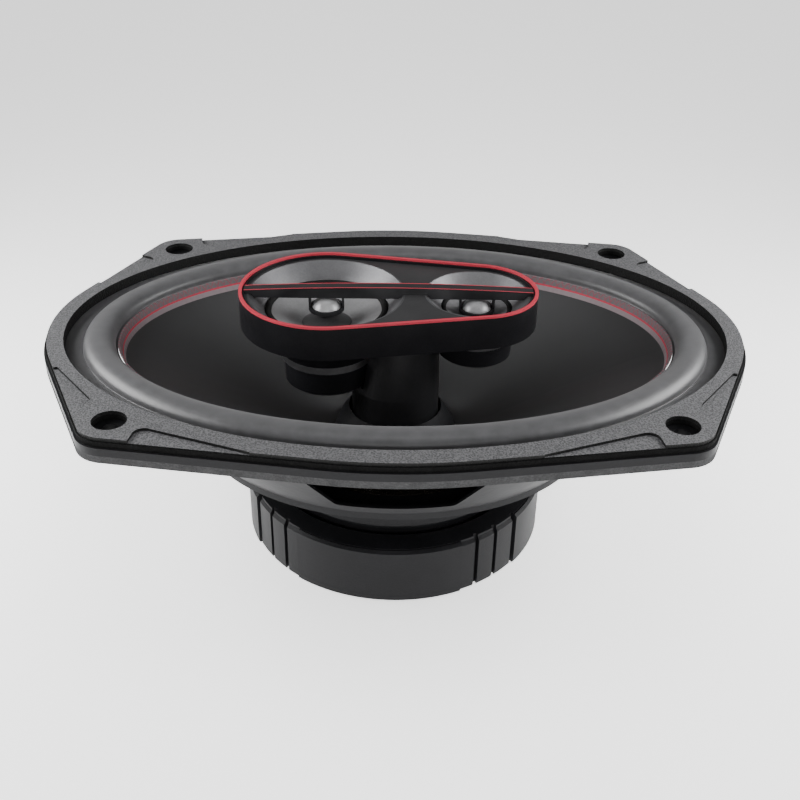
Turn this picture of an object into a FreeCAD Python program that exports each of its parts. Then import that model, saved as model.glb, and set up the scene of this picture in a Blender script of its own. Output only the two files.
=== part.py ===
"""Coaxial car speaker of the 6 x 9 inch class, as a parametric assembly of separate sub-parts.

Row frame: +Z out of the front, +X along the oval, origin on the speaker's axis in the
mounting plane (the underside of the rear gasket). Millimetres.
"""
import FreeCAD
import Part
import Sketcher
import math
import os
from collections import namedtuple
from types import SimpleNamespace

SIZES = {
    # oval outline with four ears
    "outline_half_long": 118.5, "outline_half_short": 84.2, "end_radius": 60.0, "side_radius": 150.0,
    "ear_x": 84.4, "ear_y": 62.2, "ear_radius": 10.6, "ear_hole_radius": 2.75, "trim_hole_radius": 5.25,
    # stack of layers at the flange
    "rear_gasket_top": 2.4, "seat_top": 3.4, "lip_top": 4.2, "flange_top": 5.0, "front_gasket_top": 6.8,
    "trim_top": 8.0,
    "gasket_inset": 0.7, "trim_inset": 1.2, "pocket_depth": 0.9,
    "trim_open_long": 111.9, "trim_open_short": 76.4, "seat_long": 115.2, "seat_short": 79.6,
    "trim_collar": 2.8, "gasket_open_long": 109.0, "gasket_open_short": 73.5,
    # basket bowl and the cup below it
    "bowl_long": 105.8, "bowl_short": 70.3, "bowl_wall": 1.6, "bowl_foot_long": 67.0,
    "bowl_foot_short": 54.6, "bowl_foot": -30.0, "shelf_top": -31.0, "shelf_foot": -32.4,
    "cup_radius": 45.4, "cup_wall": 1.4, "spider_seat": -42.0, "basket_floor": -48.0, "floor_thick": 1.2,
    "cup_bore_radius": 22.0,
    "window_top": 0.0, "window_foot": -27.0, "window_corner": 3.0,
    "side_window_top": 35.0, "side_window_foot": 17.5, "end_window_top": 26.0, "end_window_foot": 15.0,
    # surround
    "roll_outer_long": 106.0, "roll_outer_short": 71.2, "roll_width": 10.7, "roll_height": 4.4,
    "surround_skin": 0.9,
    # woofer cone and its edge ring
    "cone_long": 92.4, "cone_short": 58.4, "cone_edge": -0.6, "cone_neck_radius": 17.65, "cone_neck": -38.0,
    "cone_middle_long": 52.5, "cone_middle_short": 36.2, "cone_middle": -19.0, "cone_skin": 0.75,
    "ridge_long": 93.1, "ridge_short": 59.2, "ridge": 1.4, "edge_ring_wall": 0.6,
    "edge_ring_long": 94.0, "edge_ring_short": 59.5, "edge_ring_top": 3.9,
    # dust dome round the post
    "dome_radius": 22.4, "dome_centre": -38.7, "dome_hole_radius": 16.4, "dome_skin": 0.7,
    # motor
    "pole_radius": 16.9, "former_bore_radius": 17.1, "former_radius": 17.55, "coil_radius": 18.9,
    "former_foot": -57.0, "former_top": -37.2, "coil_foot": -56.3, "coil_top": -44.3,
    "plate_radius": 42.5, "plate_bore_radius": 19.3, "plate_foot": -52.6, "magnet_radius": 48.6,
    "magnet_bore_radius": 24.0, "magnet_foot": -62.9, "yoke_foot": -67.3, "vent_radius": 5.5,
    "rivet_x": 31.4, "rivet_y": 19.5, "rivet_radius": 1.95,
    "spider_skin": 0.5, "spider_wave": 1.0, "spider_waves": 6,
    # magnet cover
    "cover_foot": -69.1, "cover_inner": 49.2, "cover_radius": 51.9, "panel_radius": 53.4,
    "cover_shoulder": -47.9, "cover_lip_radius": 46.0, "cover_lip": -46.5, "cover_open_radius": 30.0,
    "panel_half_angle": 31.5, "panel_turn": -6.5, "zone_half_angle": 13.5,
    "slot_width": 1.6, "slot_depth": 2.3, "near_slot": 38.2, "middle_slot": 47.1, "far_slot": 57.6,
    # post
    "post_radius": 15.3, "post_neck": -14.0, "post_head_x": 3.3, "post_head_long": 13.0,
    "post_head_short": 11.5, "post_bolt_radius": 2.5, "post_bolt_head_radius": 8.0,
    # bridge housing
    "mid_x": -23.7, "tweeter_x": 27.1, "mid_lobe": 29.3, "tweeter_lobe": 20.5, "housing_floor": 10.0,
    "housing_top": 21.1, "housing_wall": 1.8, "floor_sheet": 1.6, "rim_top": 21.8, "rim_width": 1.1,
    "deck_foot": 19.2, "deck_top": 20.2, "bar_width": 4.0, "bar_end_top": 21.5, "bar_middle_top": 22.8,
    "bar_middle": 1.7, "web_foot": 18.8, "mid_web_top": 25.6, "mid_web_foot": 24.2, "tweeter_web_top": 16.9,
    "tweeter_web_foot": 15.4,
    # midrange
    "mid_flare_radius": 26.6, "mid_mouth_radius": 21.6, "mid_mouth": 15.0, "mid_cone_radius": 18.6,
    "mid_cone_edge": 14.0, "mid_cap_radius": 8.5, "mid_cap_foot": 9.0, "mid_cap_crown": 11.3,
    "mid_neck_radius": 6.9, "mid_neck": 7.2, "mid_basket_radius": 22.2, "mid_foot_radius": 15.8,
    "mid_basket_foot": -0.5, "mid_plate_foot": -3.0, "mid_magnet_radius": 14.8, "mid_magnet_foot": -9.6,
    "mid_yoke_foot": -12.1, "mid_pole_radius": 6.0, "mid_former_radius": 6.3, "mid_gap_radius": 7.3,
    "mid_spider_height": 5.0, "mid_roll_height": 1.2,
    # tweeter
    "tweeter_flare_radius": 17.9, "tweeter_mouth_radius": 12.6, "tweeter_mouth": 15.5,
    "tweeter_cone_radius": 10.4, "tweeter_cone_edge": 15.0, "tweeter_cap_radius": 4.5,
    "tweeter_cap_foot": 11.2, "tweeter_cap_crown": 12.6, "tweeter_can_radius": 12.8,
    "tweeter_plate_top": 6.6, "tweeter_magnet_top": 4.6, "tweeter_yoke_top": 0.4, "tweeter_foot": -1.8,
    "tweeter_pole_radius": 3.3, "tweeter_former_radius": 3.5, "tweeter_gap_radius": 4.7,
    "tweeter_roll_height": 0.6,
    # small domes under the bar
    "pod_radius": 6.0, "pod_foot": 13.3, "pod_top": 15.2, "pod_bore_radius": 5.25, "pod_wall": 0.6,
    "strut_x": 5.6, "strut_thick": 0.7, "strut_width": 3.2,
    "small_dome_radius": 4.9, "small_dome_crown": 18.35, "pod_magnet_radius": 3.6,
    # terminals
    "board_half_width": 12.0, "board_front": 54.4, "board_top": -34.4, "board_foot": -43.0,
    "board_back": 44.4, "blade_thick": 0.8, "blade_height": -38.0, "blade_root": 52.0, "blade_end": 62.0,
    "blade_x": 6.5, "positive_blade_width": 4.8, "negative_blade_width": 2.8, "eye_radius": 0.7,
    "board_rivet_radius": 1.2, "board_rivet_x": 10.1, "board_rivet_height": -41.2,
    "capacitor_radius": 3.8, "capacitor_x": 19.0,
    "lead_radius": 0.6, "lead_height": -40.8, "lead_inner": 42.6, "lead_outer": 51.5,
}

document = FreeCAD.newDocument("CoaxialCarSpeaker")
sheet = document.addObject("Spreadsheet::Sheet", "Sizes")
Bow = namedtuple("Bow", "x y")
nodes = []


class Size:
    """A length that carries its value together with the spreadsheet expression behind it."""

    def __init__(self, value, text):
        self.value = value
        self.text = text

    def __add__(self, other):
        other = as_size(other)
        return Size(self.value + other.value, "(%s + %s)" % (self.text, other.text))

    def __sub__(self, other):
        other = as_size(other)
        return Size(self.value - other.value, "(%s - %s)" % (self.text, other.text))

    def __mul__(self, other):
        other = as_size(other)
        return Size(self.value * other.value, "(%s * %s)" % (self.text, other.text))

    def __truediv__(self, other):
        other = as_size(other)
        return Size(self.value / other.value, "(%s / %s)" % (self.text, other.text))

    def __neg__(self):
        return Size(-self.value, "(0 - %s)" % self.text)

    def __rsub__(self, other):
        return as_size(other) - self

    def root(self):
        return Size(math.sqrt(self.value), "sqrt(%s)" % self.text)


def as_size(number):
    """A plain number as a Size; a Size as it is."""
    return number if isinstance(number, Size) else Size(float(number), "(%s)" % number)


def fill_sheet():
    """Write the driving dimensions into the sheet and return them by name."""
    for row, (name, value) in enumerate(SIZES.items(), start=1):
        sheet.set("A%d" % row, name)
        sheet.set("B%d" % row, str(value))
        sheet.setAlias("B%d" % row, name)
    document.recompute()
    return SimpleNamespace(**{name: Size(float(value), "Sizes." + name) for name, value in SIZES.items()})


def bind(item, name, size):
    """Tie a property of an object to the sheet."""
    item.setExpression(name, as_size(size).text)


def place(item, x=None, y=None, z=None):
    """Bind the placement's coordinates that are given."""
    for axis, size in (("x", x), ("y", y), ("z", z)):
        if size is not None:
            bind(item, "Placement.Base." + axis, size)
    return item


def node(item, label):
    """Make an object one of the assembly's sub-parts."""
    item.Label = label
    nodes.append(item)
    return item


# ---- sketches -------------------------------------------------------------------------------


def flat_sketch(body, role, name):
    """A sketch on one of the body's own origin planes."""
    plane = [item for item in body.Origin.OriginFeatures if item.Role == role][0]
    sketch = body.newObject("Sketcher::SketchObject", name)
    sketch.AttachmentSupport = [(plane, "")]
    sketch.MapMode = "FlatFace"
    return sketch


def fix_point(sketch, geometry, end, x, y):
    """Hold a point of the sketch at coordinates from the sheet."""
    for kind, size, axis in (("DistanceX", as_size(x), -2), ("DistanceY", as_size(y), -1)):
        if size.value == 0:
            sketch.addConstraint(Sketcher.Constraint("PointOnObject", geometry, end, axis))
        else:
            row = sketch.addConstraint(Sketcher.Constraint(kind, -1, 1, geometry, end, size.value))
            sketch.setExpression("Constraints[%d]" % row, size.text)


def vector(x, y):
    """A point of the sketch plane."""
    return FreeCAD.Vector(as_size(x).value, as_size(y).value, 0)


def draw_profile(sketch, outline):
    """Closed outline through corners; a Bow between two corners makes that run an arc through it."""
    count = len(outline)
    runs = []
    for index, corner in enumerate(outline):
        if isinstance(corner, Bow):
            continue
        start = vector(*corner)
        after = outline[(index + 1) % count]
        if isinstance(after, Bow):
            end = vector(*outline[(index + 2) % count])
            run = sketch.addGeometry(Part.Arc(start, vector(*after), end))
            point = sketch.addGeometry(Part.Point(vector(*after)), True)
            fix_point(sketch, point, 1, *after)
            sketch.addConstraint(Sketcher.Constraint("PointOnObject", point, 1, run))
        else:
            run = sketch.addGeometry(Part.LineSegment(start, vector(*after)))
        first = 1 if sketch.getPoint(run, 1).distanceToPoint(start) < 1e-6 else 2
        fix_point(sketch, run, first, *corner)
        runs.append((run, first))
    for (run, first), (following, opening) in zip(runs, runs[1:] + runs[:1]):
        sketch.addConstraint(Sketcher.Constraint("Coincident", run, 3 - first, following, opening))


def outer_normal(circle, following):
    """Direction from both centres to the outer tangent of two circles, going anticlockwise."""
    (x1, y1, r1), (x2, y2, r2) = [[as_size(size).value for size in item] for item in (circle, following)]
    lean = math.acos((r1 - r2) / math.hypot(x2 - x1, y2 - y1))
    angle = math.atan2(y2 - y1, x2 - x1) - lean
    return FreeCAD.Vector(math.cos(angle), math.sin(angle), 0)


def draw_hull(sketch, circles):
    """Arcs of the circles, joined by their outer tangent lines, anticlockwise."""
    normals = [outer_normal(one, two) for one, two in zip(circles, circles[1:] + circles[:1])]
    arcs = []
    for (x, y, radius), leave, enter in zip(circles, normals, normals[-1:] + normals[:-1]):
        centre = vector(x, y)
        circle = Part.Circle(centre, FreeCAD.Vector(0, 0, 1), as_size(radius).value)
        start = math.atan2(enter.y, enter.x)
        end = math.atan2(leave.y, leave.x)
        arc = sketch.addGeometry(Part.ArcOfCircle(circle, start, end if end > start else end + 2 * math.pi))
        fix_point(sketch, arc, 3, x, y)
        row = sketch.addConstraint(Sketcher.Constraint("Radius", arc, as_size(radius).value))
        sketch.setExpression("Constraints[%d]" % row, as_size(radius).text)
        arcs.append(arc)
    for arc, following in zip(arcs, arcs[1:] + arcs[:1]):
        line = sketch.addGeometry(Part.LineSegment(sketch.getPoint(arc, 2), sketch.getPoint(following, 1)))
        sketch.addConstraint(Sketcher.Constraint("Tangent", arc, 2, line, 1))
        sketch.addConstraint(Sketcher.Constraint("Tangent", line, 2, following, 1))


def draw_circle(sketch, x, y, radius):
    """A full circle held by its centre and radius."""
    up = FreeCAD.Vector(0, 0, 1)
    circle = sketch.addGeometry(Part.Circle(vector(x, y), up, as_size(radius).value))
    fix_point(sketch, circle, 3, x, y)
    row = sketch.addConstraint(Sketcher.Constraint("Radius", circle, as_size(radius).value))
    sketch.setExpression("Constraints[%d]" % row, as_size(radius).text)


# ---- solids ---------------------------------------------------------------------------------


def turned(name, outline, x=None):
    """A body turned about the vertical axis from its half section; x moves the axis."""
    body = document.addObject("PartDesign::Body", name)
    sketch = flat_sketch(body, "XZ_Plane", name + "_section")
    draw_profile(sketch, outline)
    turn = body.newObject("PartDesign::Revolution", name + "_turn")
    turn.Profile = sketch
    turn.ReferenceAxis = (sketch, ["V_Axis"])
    turn.Angle = 360
    return place(body, x=x)


def prism(name, draw, foot, top, role="XY_Plane"):
    """A body padded upward from foot to top; draw(sketch) makes its outline."""
    body = document.addObject("PartDesign::Body", name)
    sketch = flat_sketch(body, role, name + "_outline")
    draw(sketch)
    pad = body.newObject("PartDesign::Pad", name + "_pad")
    pad.Profile = sketch
    bind(pad, "Length", as_size(top) - foot)
    return place(body, z=foot)


def slab(name, draw, role, depth):
    """A body padded to both sides of a vertical origin plane."""
    body = document.addObject("PartDesign::Body", name)
    sketch = flat_sketch(body, role, name + "_outline")
    draw(sketch)
    pad = body.newObject("PartDesign::Pad", name + "_pad")
    pad.Profile = sketch
    pad.Midplane = True
    bind(pad, "Length", depth)
    return body


def cylinder(name, radius, foot, top, x=0, y=0):
    """An upright cylinder between two heights."""
    item = document.addObject("Part::Cylinder", name)
    bind(item, "Radius", radius)
    bind(item, "Height", as_size(top) - foot)
    return place(item, x, y, foot)


def box(name, low, high):
    """A box between two corners."""
    item = document.addObject("Part::Box", name)
    for side, start, end in zip(("Length", "Width", "Height"), low, high):
        bind(item, side, as_size(end) - start)
    return place(item, *low)


def ellipse(name, half_long, half_short, height):
    """A flat ellipse at a height."""
    item = document.addObject("Part::Ellipse", name)
    bind(item, "MajorRadius", half_long)
    bind(item, "MinorRadius", half_short)
    return place(item, z=height)


def loft(name, sections, ruled=True):
    """A solid through ellipses, each given by its two half lengths and its height."""
    item = document.addObject("Part::Loft", name)
    item.Sections = [ellipse("%s_%d" % (name, index), *section) for index, section in enumerate(sections)]
    item.Solid = True
    item.Ruled = ruled
    return item


def oval(name, half_long, half_short, foot, top):
    """An upright oval prism."""
    return loft(name, [(half_long, half_short, foot), (half_long, half_short, top)])


def fuse(name, items):
    """One solid from several that meet."""
    item = document.addObject("Part::MultiFuse", name)
    item.Shapes = items
    return item


def cut(name, base, *tools):
    """A solid with other solids taken away."""
    item = document.addObject("Part::Cut", name)
    item.Base = base
    item.Tool = tools[0] if len(tools) == 1 else fuse(name + "_tools", list(tools))
    return item


def common(name, *items):
    """What two solids share."""
    item = document.addObject("Part::MultiCommon", name)
    item.Shapes = list(items)
    return item


def group(name, items):
    """Separate identical solids that make one node."""
    item = document.addObject("Part::Compound", name)
    item.Links = items
    return item


def pipe(name, radius, start, end):
    """A straight round rod between two points of the row frame."""
    item = document.addObject("Part::Cylinder", name)
    low = FreeCAD.Vector(*[as_size(size).value for size in start])
    high = FreeCAD.Vector(*[as_size(size).value for size in end])
    bind(item, "Radius", radius)
    item.Height = (high - low).Length
    item.Placement.Rotation = FreeCAD.Rotation(FreeCAD.Vector(0, 0, 1), high - low)
    return place(item, *start)


# ---- flange stack ---------------------------------------------------------------------------

s = fill_sheet()
QUARTERS = [(1, 1), (-1, 1), (-1, -1), (1, -1)]


def speaker_outline(inset):
    """The oval with four ears, as circles for draw_hull, moved inward by inset."""
    end = (s.outline_half_long - s.end_radius, 0, s.end_radius - inset)
    side = (0, s.outline_half_short - s.side_radius, s.side_radius - inset)
    ears = [(s.ear_x * x, s.ear_y * y, s.ear_radius - inset) for x, y in QUARTERS]
    left_end = (-end[0], 0, end[2])
    front_side = (0, -side[1], side[2])
    return [end, ears[0], side, ears[1], left_end, ears[2], front_side, ears[3]]


def flange_layer(name, inset, hole_radius, foot, top):
    """One layer of the flange: the eared outline with its four holes."""

    def draw(sketch):
        draw_hull(sketch, speaker_outline(inset))
        for x, y in QUARTERS:
            draw_circle(sketch, s.ear_x * x, s.ear_y * y, hole_radius)

    return prism(name, draw, foot, top)


def rear_gasket():
    """Foam that seals the flange against the panel."""
    layer = flange_layer("rear_gasket_layer", 0, s.ear_hole_radius, 0, s.rear_gasket_top)
    opening = oval("rear_gasket_opening", s.gasket_open_long, s.gasket_open_short, -1, 6)
    node(cut("rear_gasket_cut", layer, opening), "rear_gasket")


def window(name, role, top, foot):
    """A rounded, tapering window cut right through two opposite walls of the bowl."""
    corner = s.window_corner
    high = s.window_top - corner
    low = s.window_foot + corner
    circles = [(foot, low, corner), (top, high, corner), (-top, high, corner), (-foot, low, corner)]
    return slab(name, lambda sketch: draw_hull(sketch, circles), role, 300)


def basket():
    """Pressed frame: eared flange with a stepped seat, windowed bowl, shelf, spider cup and floor."""
    flange = flange_layer("basket_flange", 0, s.ear_hole_radius, s.rear_gasket_top, s.flange_top)
    seat = oval("basket_seat", s.seat_long, s.seat_short, s.seat_top, s.flange_top + 4)
    opening = oval("basket_opening", s.bowl_long, s.bowl_short, 1, s.flange_top + 4)
    plate = cut("basket_plate", flange, seat, opening)
    bowl_top = s.rear_gasket_top + 0.1
    wall = s.bowl_wall
    foot_long = s.bowl_foot_long
    foot_short = s.bowl_foot_short
    outer = loft("bowl_outer", [(s.bowl_long + wall, s.bowl_short + wall, bowl_top),
                                (foot_long + wall, foot_short + wall, s.bowl_foot)])
    inner = loft("bowl_inner", [(s.bowl_long, s.bowl_short, bowl_top), (foot_long, foot_short, s.bowl_foot)])
    side_windows = window("side_windows", "XZ_Plane", s.side_window_top, s.side_window_foot)
    end_windows = window("end_windows", "YZ_Plane", s.end_window_top, s.end_window_foot)
    bowl = cut("bowl", outer, inner, side_windows, end_windows)
    shelf = cut("basket_shelf",
                oval("shelf_outer", foot_long + wall, foot_short + wall, s.shelf_foot, s.bowl_foot),
                oval("shelf_inner", foot_long, foot_short, s.shelf_top, s.bowl_foot + 1),
                cylinder("shelf_bore", s.cup_radius, s.shelf_foot - 1, s.bowl_foot + 1))
    frame = fuse("basket_frame", [plate, bowl, shelf, spider_cup()])
    lead_holes = [pipe("lead_hole_%d" % number, s.lead_radius + 0.4, (x, s.cup_radius - 3, s.lead_height),
                       (x, s.cup_radius + 6, s.lead_height))
                  for number, x in enumerate((s.blade_x, -s.blade_x))]
    rivet_holes = [cylinder("floor_hole_%d" % index, s.rivet_radius + 0.05, s.basket_floor - 1, -44,
                            s.rivet_x * x, s.rivet_y * y) for index, (x, y) in enumerate(QUARTERS)]
    node(cut("basket_cut", frame, *lead_holes, *rivet_holes), "basket")


def spider_cup():
    """Round cup below the shelf with the spider's ledge and the floor on the front plate."""
    cup = s.cup_radius
    back = cup + s.cup_wall
    seat = s.spider_seat
    floor = s.basket_floor
    floor_radius = s.plate_radius + 0.6
    well = floor_radius - 1.3
    bore = s.cup_bore_radius
    return turned("basket_cup", [
        (cup, s.shelf_top), (cup, seat), (well + 0.4, seat), (well, seat - 2.4),
        (well, floor + s.floor_thick), (bore, floor + s.floor_thick), (bore, floor),
        (floor_radius, floor), (floor_radius, seat - 3.2), (cup, seat - 1.3), (back, seat - 0.4),
        (back, s.shelf_top - 0.5)])


def front_gasket():
    """Black band between the flange and the trim."""
    layer = flange_layer("front_gasket_layer", s.gasket_inset, s.trim_hole_radius, s.flange_top,
                         s.front_gasket_top)
    opening = oval("front_gasket_opening", s.seat_long, s.seat_short, 4, 9)
    node(cut("front_gasket_cut", layer, opening), "front_gasket")


def ear_pocket(name, x, y, near, far, outward):
    """A shallow recess beside one ear, open to the outline and rounded towards the hole."""
    reach = 9
    circles = []
    for (px, py), radius in ((near, 3.2), (far, 0.5)):
        circles.append((px * x, py * y, radius))
        circles.append(((px + outward[0] * reach) * x, (py + outward[1] * reach) * y, radius))
    middle_x = (near[0] + far[0] + outward[0] * reach) / 2 * x
    middle_y = (near[1] + far[1] + outward[1] * reach) / 2 * y
    circles.sort(key=lambda circle: math.atan2(circle[1] - middle_y, circle[0] - middle_x))
    return prism(name, lambda sketch: draw_hull(sketch, circles), s.trim_top - s.pocket_depth, 9)


def trim_ring():
    """Textured front trim with a collar that reaches down to the surround's lip."""
    layer = flange_layer("trim_layer", s.trim_inset, s.trim_hole_radius, s.front_gasket_top, s.trim_top)
    collar = oval("trim_collar", s.trim_open_long + s.trim_collar, s.trim_open_short + s.trim_collar,
                  s.lip_top, s.front_gasket_top + 0.2)
    opening = oval("trim_opening", s.trim_open_long, s.trim_open_short, s.seat_top, s.trim_top + 1)
    side_near, side_far, side_angle = (73.2, 69.4), (42.0, 78.4), math.radians(81)
    end_near, end_far, end_angle = (95.7, 51.5), (107.8, 31.5), math.radians(24)
    side_way = (math.cos(side_angle), math.sin(side_angle))
    end_way = (math.cos(end_angle), math.sin(end_angle))
    pockets = []
    for index, (x, y) in enumerate(QUARTERS):
        pockets.append(ear_pocket("side_pocket_%d" % index, x, y, side_near, side_far, side_way))
        pockets.append(ear_pocket("end_pocket_%d" % index, x, y, end_near, end_far, end_way))
    body = fuse("trim_body", [layer, collar])
    node(cut("trim_cut", body, opening, *pockets), "trim_ring")


# ---- woofer ---------------------------------------------------------------------------------


def roll(name, drop):
    """The surround's half roll as a solid crown between its two feet, lowered by drop."""
    width = s.roll_width
    foot = s.seat_top - drop

    def ring(share, height):
        inward = width * share
        return (s.roll_outer_long - inward, s.roll_outer_short - inward, foot + s.roll_height * height)

    crown = loft(name + "_crown", [ring(0.0, 0), ring(0.07, 0.5), ring(0.22, 0.85), ring(0.5, 1)])
    well = loft(name + "_well", [ring(1.0, 0), ring(0.93, 0.5), ring(0.78, 0.85), ring(0.5, 1)])
    return cut(name, crown, well)


def surround():
    """Rubber half roll with the lip glued to the basket's seat."""
    fit = 0.5
    lip_outer = oval("lip_outer", s.seat_long - fit, s.seat_short - fit, s.seat_top, s.lip_top)
    lip_inner = oval("lip_inner", s.roll_outer_long - fit, s.roll_outer_short - fit,
                     s.seat_top - 1, s.lip_top + 1)
    lip = cut("surround_lip", lip_outer, lip_inner)
    skin = cut("surround_skin", roll("roll_top", 0), roll("roll_underside", s.surround_skin))
    node(fuse("surround_fused", [skin, lip]), "surround")


def cone_space(name, grow):
    """The space in front of the cone; grow moves its wall outward."""
    return loft(name, [
        (s.cone_long + grow, s.cone_short + grow, s.cone_edge),
        (s.cone_middle_long + grow, s.cone_middle_short + grow, s.cone_middle),
        (s.cone_neck_radius + grow, s.cone_neck_radius + grow, s.cone_neck)], ruled=False)


def edge_ring_space(name, grow):
    """The space inside the edge ring, a steep band with a ridge; grow moves its wall outward."""
    return loft(name, [
        (s.cone_long + grow, s.cone_short + grow, s.cone_edge),
        (s.ridge_long + grow, s.ridge_short + grow, s.ridge),
        (s.edge_ring_long + grow, s.edge_ring_short + grow, s.edge_ring_top)])


def woofer_cone():
    """Oval cone of glossy moulded plastic, its edge ring and the dome round the post."""
    node(cut("cone_cut", cone_space("cone_back", s.cone_skin), cone_space("cone_space", 0)), "woofer_cone")
    ring_back = edge_ring_space("edge_ring_back", s.edge_ring_wall)
    node(cut("edge_ring_cut", ring_back, edge_ring_space("edge_ring_inside", 0)), "cone_edge_ring")
    hole = s.dome_hole_radius
    radius = s.dome_radius
    inner = radius - s.dome_skin
    centre = s.dome_centre
    rise = (radius * radius - hole * hole).root()
    inner_rise = (inner * inner - hole * hole).root()
    lean = math.radians(60)
    shell = turned("dome_shell", [
        (hole, centre + inner_rise), Bow(inner * math.sin(lean), centre + inner * math.cos(lean)),
        (inner, centre), (radius, centre),
        Bow(radius * math.sin(lean), centre + radius * math.cos(lean)), (hole, centre + rise)])
    node(common("dome_common", shell, cone_space("dome_space", 0)), "dust_cap")


def coil():
    """Voice coil on its former."""
    node(turned("coil_former_body", [
        (s.former_bore_radius, s.former_foot), (s.former_radius, s.former_foot),
        (s.former_radius, s.former_top), (s.former_bore_radius, s.former_top)]), "coil_former")
    node(turned("voice_coil_body", [
        (s.former_radius, s.coil_foot), (s.coil_radius, s.coil_foot),
        (s.coil_radius, s.coil_top), (s.former_radius, s.coil_top)]), "voice_coil")


def spider_section(inner, outer, height, waves, wave, skin):
    """A wavy strip from inner to outer with a flat landing at each end."""
    landing = 2.0
    step = (outer - inner - 2 * landing) / (2 * waves)
    under = [(inner, height), (inner + landing, height)]
    for index in range(1, 2 * waves):
        lift = wave if index % 2 else -wave
        under.append((inner + landing + step * index, height + lift))
    under += [(outer - landing, height), (outer, height)]
    return under + [(x, z + skin) for x, z in reversed(under)]


def spider():
    """Corrugated cloth that centres the coil."""
    outline = spider_section(s.former_radius + 0.2, s.cup_radius - 0.3, s.spider_seat + 0.05,
                             int(s.spider_waves.value), s.spider_wave, s.spider_skin)
    node(turned("spider_body", outline), "spider")


# ---- motor ----------------------------------------------------------------------------------


def motor():
    """Front plate, ring magnet and the yoke: back plate and vented pole in one."""
    node(turned("front_plate_body", [
        (s.plate_bore_radius, s.plate_foot), (s.plate_radius, s.plate_foot),
        (s.plate_radius, s.basket_floor), (s.plate_bore_radius, s.basket_floor)]), "front_plate")
    node(turned("magnet_body", [
        (s.magnet_bore_radius, s.magnet_foot), (s.magnet_radius - 1, s.magnet_foot),
        (s.magnet_radius, s.magnet_foot + 1), (s.magnet_radius, s.plate_foot - 1),
        (s.magnet_radius - 1, s.plate_foot), (s.magnet_bore_radius, s.plate_foot)]), "magnet")
    node(turned("yoke_body", [
        (s.vent_radius, s.yoke_foot), (s.plate_radius - 1.5, s.yoke_foot),
        (s.plate_radius, s.yoke_foot + 1.5),
        (s.plate_radius, s.magnet_foot), (s.pole_radius, s.magnet_foot), (s.pole_radius, s.basket_floor),
        (s.vent_radius, s.basket_floor)]), "yoke")
    rivets = []
    sheet_top = s.basket_floor + s.floor_thick
    for index, (x, y) in enumerate(QUARTERS):
        head_spot = (s.rivet_x * x, s.rivet_y * y)
        shank = cylinder("rivet_shank_%d" % index, s.rivet_radius, s.basket_floor, sheet_top, *head_spot)
        head = cylinder("rivet_head_%d" % index, s.rivet_radius + 1.25, sheet_top, sheet_top + 1.2,
                        *head_spot)
        rivets.append(fuse("rivet_%d" % index, [shank, head]))
    node(group("rivet_group", rivets), "plate_rivets")


def sector(name, radius, angle, half_angle, foot, top):
    """A pie slice of a cylinder, centred on an angle measured from the front (-Y)."""
    item = document.addObject("Part::Cylinder", name)
    bind(item, "Radius", radius)
    bind(item, "Height", as_size(top) - foot)
    bind(item, "Angle", as_size(half_angle) * 2)
    bind(item, "Placement.Rotation.Angle", as_size(angle) - half_angle - 90)
    return place(item, z=foot)


def cover_slots():
    """Narrow upright grooves: three on each side of the front panel, and the same at the back."""
    slots = []
    for face, face_angle in (("front", -90), ("back", 90)):
        for side in (-1, 1):
            for number, offset in enumerate((s.near_slot, s.middle_slot, s.far_slot)):
                slot = document.addObject("Part::Box", "slot_%s_%d_%d" % (face, side + 1, number))
                bind(slot, "Length", 6)
                bind(slot, "Width", s.slot_width)
                bind(slot, "Height", s.cover_lip - s.cover_foot + 2)
                angle = s.panel_turn + face_angle + offset * side
                bind(slot, "Placement.Rotation.Angle", angle)
                turn = math.radians(angle.value)
                inner = s.panel_radius - s.slot_depth
                half = s.slot_width * 0.5
                place(slot, inner * math.cos(turn) + half * math.sin(turn),
                      inner * math.sin(turn) - half * math.cos(turn), s.cover_foot - 1)
                slots.append(slot)
    return slots


def cover_band(name, outline, angle, half_angle):
    """The four parts of a turned ring that lie round an angle, one in each quarter."""
    ring_solid = turned(name + "_ring", outline)
    parts = []
    for quarter in range(4):
        slice_name = "%s_sector_%d" % (name, quarter)
        slice_solid = sector(slice_name, s.panel_radius + 8, angle + 90 * quarter, half_angle,
                             s.cover_foot - 1, s.cover_lip + 8)
        parts.append(common("%s_%d" % (name, quarter), ring_solid, slice_solid))
    return parts


def magnet_cover():
    """Plastic boot round the magnet: smooth panels, grooved zones and a sloped shoulder."""
    shoulder = s.cover_shoulder
    foot = s.cover_foot
    wall_in = s.cover_inner + 1
    shell = turned("cover_shell", [
        (s.cover_open_radius, foot), (s.cover_radius - 0.8, foot), (s.cover_radius, foot + 0.8),
        (s.cover_radius, shoulder), (s.cover_lip_radius, s.cover_lip),
        (s.cover_lip_radius, s.cover_lip - 1.4), (s.cover_inner, shoulder - 1.6),
        (s.cover_inner, foot + 1.8), (s.cover_open_radius, foot + 1.8)])
    panels = cover_band("panel", [
        (wall_in, foot + 1), (s.panel_radius - 0.5, foot), (s.panel_radius, foot + 0.6),
        (s.panel_radius, shoulder - 1.2), (s.panel_radius - 1, shoulder - 0.3),
        (wall_in, shoulder - 0.3)], s.panel_turn, s.panel_half_angle)
    block_radius = s.panel_radius - 0.6
    blocks = cover_band("block", [
        (wall_in, foot + 1), (block_radius - 0.3, foot + 0.2), (block_radius, foot + 0.8),
        (block_radius, shoulder - 2.0), (block_radius - 0.9, shoulder - 0.8),
        (wall_in, shoulder - 0.8)], s.panel_turn + 45, s.zone_half_angle)
    body = fuse("cover_body", [shell] + panels + blocks)
    node(cut("cover_cut", body, *cover_slots()), "magnet_cover")


# ---- post and bridge ------------------------------------------------------------------------


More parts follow.
